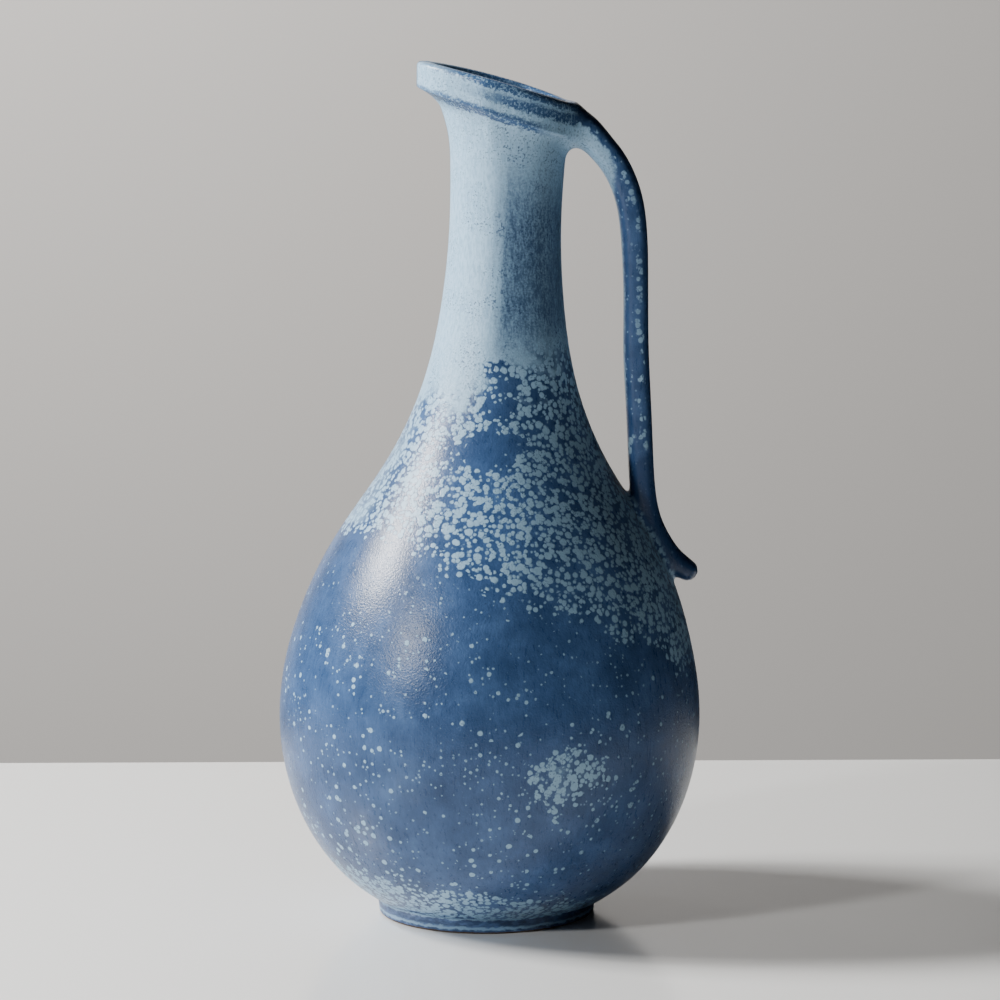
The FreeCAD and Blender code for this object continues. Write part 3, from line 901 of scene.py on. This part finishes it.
def pale_cover(n, place, at):
    """Share of pale crystals over blue at a place."""
    amount, rough = pale_amount(n, place, at)
    dense = n.step(amount, 0.02, 0.82, 0.0, 0.97)
    large = crystals(n, place, dense, *LARGE)
    small = crystals(n, place, dense, *SMALL)
    smallest = crystals(n, place, n.times(dense, 0.8), *SMALLEST)
    scatter = n.noise(place, 30.0, 2.0, 0.55)
    left = n.step(at.side, 0.5, -0.6, 0.3, 1.0)
    near_foot = n.step(at.z, *STARS_NEAR_FOOT, 0.0, 0.22)
    sparse = n.times(n.step(scatter, 0.42, 0.62), left, 0.50)
    sparse = n.add(sparse, n.times(near_foot, left), 0.05)
    sparse = n.times(sparse, n.step(at.z, *STARS_END))
    stars = crystals(n, place, sparse, *STARS)
    seeds = n.step(n.noise(place, 21.0, 2.0, 0.5), 0.40, 0.62, 0.1, 0.5)
    seeds = crystals(n, place, seeds, *SEEDS)
    seeds = n.times(seeds, n.step(at.z, *SEEDS_END), 0.85)
    dust = crystals(n, place, 0.16, *DUST)
    dust = n.times(dust, n.step(at.z, *DUST_END), 0.6)
    solid = n.step(n.add(amount, n.times(rough, 0.10)), 0.84, 1.04)
    return largest(n, large, small, smallest, stars, seeds, solid, dust)


def blue_glass(n, place, streaks):
    """The blue: mottled, and drawn into faint vertical streaks by the melt."""
    mottle = n.noise(place, 14.0, 4.0, 0.62)
    light = n.add(n.times(n.less(mottle, 0.5), 1.2), n.times(n.less(streaks, 0.5), 0.5), 0.47)
    blue = n.mix(n.step(light, 0.0, 1.0), DEEP_BLUE, BLUE)
    return n.mix(n.times(n.step(light, 0.5, 1.1), 0.35), blue, LIGHT_BLUE)


def powder_blue(n, place, at, fine):
    """The pale: grained by fine dark specks and darkened in streaks down the neck, partly by real
    staining and partly as painted shade over the neck's right front side; low down and towards the handle
    it is turned grey as painted shade.
    """
    grain = n.noise(n.scaled(place, (1.0, 1.0, 0.3)), 0.9, 2.0, 0.6)
    powder = n.mix(n.step(grain, 0.3, 0.62), PALE_GREY, PALE)
    # painted shade: the pale crystals are darkened towards grey below 225 mm, fully below 175 mm, by 0.35
    # of the way on the spout side and 0.75 on the handle side, away from the lamps
    painted_crystal_shade = n.times(n.step(at.z, *CRYSTAL_SHADE_HEIGHTS), n.step(at.side, -0.7, 0.3, 0.35, 0.75))
    powder = n.mix(painted_crystal_shade, powder, SHADED_CRYSTAL)
    # partly real staining down the neck and partly painted shade: the dark mix covers the whole right
    # front of the neck between about 192 and 316 mm, where the lamps leave shade
    stain_and_shade_streaks = n.noise(n.scaled(place, (1.0, 1.0, 0.10)), 4.0, 4.0, 0.65)
    wander = n.add(at.side, n.times(n.less(stain_and_shade_streaks, 0.5), 0.5))
    stain_and_shade_spread = n.times(n.step(wander, -0.44, 0.10), n.step(at.z, *STAIN_AND_SHADE_TOP), n.step(at.z, *STAIN_AND_SHADE_FOOT))
    stain_and_shade_spread = n.times(stain_and_shade_spread, at.facing)
    stain_and_shade_level = n.add(n.times(stain_and_shade_streaks, 0.35), n.times(grain, 1.1), n.times(fine, 0.7), n.times(stain_and_shade_spread, 0.65))
    powder = n.mix(n.times(n.step(stain_and_shade_level, 1.0, 1.95), stain_and_shade_spread), powder, STAIN_AND_SHADE)
    specks = n.step(n.add(fine, n.times(grain, 0.4)), 0.77, 0.84)
    patches = n.step(n.noise(place, 12.0, 3.0, 0.6), 0.42, 0.66)
    edge = n.step(at.z, *NECK_SPECKS, 0.0, 0.6)
    patches = n.math("MAXIMUM", patches, edge)
    return n.mix(n.times(specks, patches, 0.75), powder, DEEP_BLUE)


def collar_breaks_and_mouth_shade(n, place, at):
    """Where the glaze runs thin over the collar: along its lower edge, its top and in streaks; and
    painted shade inside the mouth near its top.
    """
    rise = n.add(at.z, n.times(at.x, 0.31))
    uneven = n.less(n.noise(n.scaled(place, (0.4, 0.4, 1.0)), 2.0, 3.0, 0.6), 0.5)
    crumbled = n.less(n.noise(place, 1.0, 3.0, 0.7), 0.5)
    ragged = n.add(rise, n.times(uneven, 3.0), n.times(crumbled, 4.0))
    back = n.step(at.side, -0.85, 0.1)
    lower = n.times(n.step(ragged, *COLLAR_LINE[0]), n.step(ragged, *COLLAR_LINE[1]))
    lower = n.times(lower, n.step(at.side, -1.0, -0.6, 0.75, 1.0), n.step(at.side, 0.75, 0.3, 0.2, 1.0))
    streak = n.times(n.step(ragged, *COLLAR_STREAK[0]), n.step(ragged, *COLLAR_STREAK[1]), back)
    top = n.times(n.step(ragged, *COLLAR_TOP), n.step(at.side, -0.99, -0.6, 0.45, 1.0))
    outside = n.times(largest(n, lower, streak, top), n.step(crumbled, -0.16, 0.02, 0.35, 1.0))
    # painted shade: the mouth's inside is painted thin dark blue near its top, within 21 to 25 mm of the
    # axis
    inside = n.times(n.step(rise, *MOUTH_TOP), n.step(crumbled, -0.2, 0.1, 0.6, 0.9))
    inside = n.times(inside, n.step(at.reach, 25.0, 21.0))
    return n.times(largest(n, outside, inside), n.step(at.z, *COLLAR_FOOT))


def glazed_surface(n, colour, pale, breaks_and_mouth_shade, streaks, fine):
    """Satin gloss, and crystals that stand a little proud."""
    n.feed(n.shader.inputs["Base Color"], colour)
    satin = 0.285
    matt = n.add(satin, n.times(pale, 0.10), n.times(n.less(streaks, 0.5), 0.10))
    n.feed(n.shader.inputs["Roughness"], n.less(matt, n.times(breaks_and_mouth_shade, 0.14)))
    height = n.add(n.times(pale, 0.08), n.times(fine, 0.20), n.times(streaks, 0.03))
    bump = n.new("ShaderNodeBump")
    bump.inputs["Strength"].default_value = 0.6
    bump.inputs["Distance"].default_value = MM
    n.feed(bump.inputs["Height"], height)
    n.feed(n.shader.inputs["Normal"], bump.outputs[0])
    n.shader.inputs["Specular IOR Level"].default_value = 0.36


def body_colours(n, place, at):
    """Colour, pale share, thin places with the painted shade inside the mouth, streaks and grain of the
    glaze on the body.
    """
    streaks = n.noise(n.scaled(place, (1.0, 1.0, 0.25)), 1.5, 4.0, 0.65)
    fine = n.noise(place, 0.75, 2.0, 0.55)
    pale = pale_cover(n, place, at)
    blue = blue_glass(n, place, streaks)
    colour = n.mix(pale, blue, powder_blue(n, place, at, fine))
    breaks_and_mouth_shade = collar_breaks_and_mouth_shade(n, place, at)
    # thin glaze on the collar and painted shade inside the mouth, both in thin dark blue
    return n.mix(n.times(breaks_and_mouth_shade, 0.92), colour, THIN_BLUE_AND_MOUTH_SHADE), pale, breaks_and_mouth_shade, streaks, fine


def body_glaze():
    n = Nodes("crystalline_glaze")
    place = place_in_mm(n)
    at = Around(n, place)
    glazed_surface(n, *body_colours(n, place, at))
    return n.material


def mark(n, name):
    return n.new("ShaderNodeAttribute", attribute_name=name).outputs["Fac"]


def strap_glaze():
    """The body's glaze at the joins, and on the strap blue with pale edges and a chain of pale spots."""
    n = Nodes("strap_glaze")
    place = place_in_mm(n)
    at = Around(n, place)
    wall_colour, wall_pale, wall_breaks_and_mouth_shade, streaks, fine = body_colours(n, place, at)
    across, along, off_wall = mark(n, "across"), mark(n, "along"), mark(n, "off_wall")

    uneven = n.less(n.noise(place, 3.0, 3.0, 0.6), 0.5)
    side = n.add(across, n.times(uneven, 0.55))
    root = n.step(n.add(along, n.times(uneven, 8.0), n.times(across, 6.0)), 21.0, 15.0)
    root = n.times(root, n.step(side, 0.30, 0.12))
    spotty = n.noise(n.scaled(place, (1.0, 1.0, 0.55)), 4.0, 2.0, 0.5)
    chain = n.step(n.math("ABSOLUTE", n.less(side, 0.24)), 0.34, 0.24)
    chain = n.times(chain, n.step(at.facing, 0.3, 0.7), 0.95)
    chain = n.times(chain, crystals(n, place, n.step(spotty, 0.42, 0.56, 0.2, 1.0), *STRAP_CHAIN))
    inner_edge = n.times(n.step(side, -0.82, -0.98), 0.75)
    dust = crystals(n, place, 0.34, *STRAP_DUST)
    dust = n.times(dust, n.step(across, 0.2, -0.7, 0.25, 1.0), 0.8)
    tail = n.times(n.step(along, 150.0, 165.0), n.step(spotty, 0.50, 0.60), 0.5)
    pale = largest(n, root, chain, inner_edge, dust, tail)
    blue = blue_glass(n, place, streaks)
    blue = n.mix(n.step(side, 0.55, 0.85), blue, DEEP_BLUE)
    colour = n.mix(pale, blue, powder_blue(n, place, at, fine))
    colour = n.mix(off_wall, wall_colour, colour)
    pale = n.add(n.times(pale, off_wall), n.times(wall_pale, n.less(1.0, off_wall)))
    glazed_surface(n, colour, pale, n.times(wall_breaks_and_mouth_shade, n.less(1.0, off_wall)), streaks, fine)
    return n.material


def foot_glaze():
    n = Nodes("foot_glaze")
    place = place_in_mm(n)
    at = Around(n, place)
    wavy = n.noise(n.scaled(place, (1.0, 1.0, 2.2)), 3.0, 4.0, 0.6)
    light = n.step(wavy, 0.35, 0.7)
    colour = n.mix(light, DEEP_BLUE, BLUE)
    level = n.add(at.z, n.times(n.less(wavy, 0.5), 2.6))
    lines = n.times(n.step(level, 5.0, 5.6), 0.8)
    lines = n.math("MAXIMUM", lines, n.times(n.step(level, 1.4, 1.9), n.step(level, 3.0, 2.3), 0.7))
    colour = n.mix(lines, colour, PALE_GREY)
    worn = n.step(n.add(at.z, n.times(n.less(wavy, 0.5), 0.6)), 0.9, 0.6)
    colour = n.mix(worn, colour, BARE_CLAY)
    n.feed(n.shader.inputs["Base Color"], colour)
    n.feed(n.shader.inputs["Roughness"], n.add(0.4, n.times(worn, 0.35)))
    return n.material


# ---------------------------------------------------------------- table, wall, light and camera

def plain(name, colour, roughness):
    n = Nodes(name)
    n.feed(n.shader.inputs["Base Color"], colour)
    n.feed(n.shader.inputs["Roughness"], roughness)
    return n.material


def flat_piece(name, corners, material):
    mesh = bpy.data.meshes.new(name)
    mesh.from_pydata(corners, [], [range(len(corners))])
    mesh.materials.append(material)
    plane = bpy.data.objects.new(name, mesh)
    bpy.context.scene.collection.objects.link(plane)


def studio():
    """A glossy white table that ends behind the pitcher, and a warm grey wall well behind it."""
    left, right, near, edge = -1.0, 0.7, -1.8, 0.273
    table = [(left, near, 0), (right, near, 0), (right, edge, 0), (left, edge, 0)]
    flat_piece("table", table, plain("table_white", (0.80, 0.80, 0.79), 0.16))
    left, right, deep, tall, away = -3.5, 0.52, -1.6, 2.2, 2.4
    wall = [(left, away, deep), (right, away, deep), (right, away, tall), (left, away, tall)]
    flat_piece("wall", wall, plain("wall_grey", (0.52, 0.505, 0.49), 0.9))


def lamp(name, place, aim, size, power, colour):
    data = bpy.data.lights.new(name, "AREA")
    data.shape = "RECTANGLE"
    data.size, data.size_y = size
    data.energy = power
    data.color = colour
    light = bpy.data.objects.new(name, data)
    light.location = place
    light.rotation_euler = (Vector(aim) - Vector(place)).to_track_quat("-Z", "Y").to_euler()
    bpy.context.scene.collection.objects.link(light)


def lights():
    """A soft window in two parts on the left, a smaller one at the front left, and light on the wall."""
    middle = (0.0, 0.0, 0.16)
    warm = (1.0, 0.99, 0.97)
    lamp("low_window", (-1.55, 0.05, 1.10), middle, (0.34, 0.24), 41.0, warm)
    lamp("high_window", (-1.38, 0.22, 1.32), middle, (0.40, 0.26), 46.0, warm)
    lamp("front_window", (-1.28, -1.08, 0.81), middle, (0.17, 0.19), 18.0, warm)
    lamp("wall_light", (-0.9, 1.35, 1.1), (-0.25, 2.4, 0.28), (0.7, 0.7), 36.0, (1.0, 0.975, 0.95))
    surroundings()


def surroundings():
    """Weak light from all round, least from the right, where a studio has a dark cloth."""
    world = bpy.data.worlds.new("surroundings")
    world.use_nodes = True
    tree = world.node_tree
    background = tree.nodes["Background"]
    background.inputs["Color"].default_value = (0.95, 0.96, 1.0, 1.0)
    direction = tree.nodes.new("ShaderNodeTexCoord")
    towards_left = tree.nodes.new("ShaderNodeVectorMath")
    towards_left.operation = "DOT_PRODUCT"
    towards_left.inputs[1].default_value = (-0.8, -0.6, 0.0)
    strength = tree.nodes.new("ShaderNodeMapRange")
    strength.interpolation_type = "SMOOTHSTEP"
    for socket, value in zip(strength.inputs[1:], (-0.6, 1.0, 0.004, 0.06)):
        socket.default_value = value
    tree.links.new(direction.outputs["Generated"], towards_left.inputs[0])
    tree.links.new(towards_left.outputs["Value"], strength.inputs[0])
    tree.links.new(strength.outputs[0], background.inputs["Strength"])
    bpy.context.scene.world = world


def camera():
    """A long lens a little above the mouth's height, pitched down to the belly."""
    pitch, roll = 8.18, 0.22
    data = bpy.data.cameras.new("camera")
    data.lens = 150.95
    data.sensor_width = 36.0
    view = bpy.data.objects.new("camera", data)
    view.location = (0.00565, -1.55, 0.379)
    view.rotation_euler = (math.radians(90 - pitch), 0, 0)
    view.rotation_euler.rotate_axis("Z", math.radians(-roll))
    bpy.context.scene.collection.objects.link(view)
    bpy.context.scene.camera = view


def main():
    rings, marks = thrown_grid()
    rings = hand_made(rings, grid_normals(rings), marks)
    thrown_pieces(rings, grid_normals(rings), marks, body_glaze())
    foot_piece(foot_glaze())
    handle_piece(rings, strap_glaze())
    studio()
    lights()
    camera()


main()
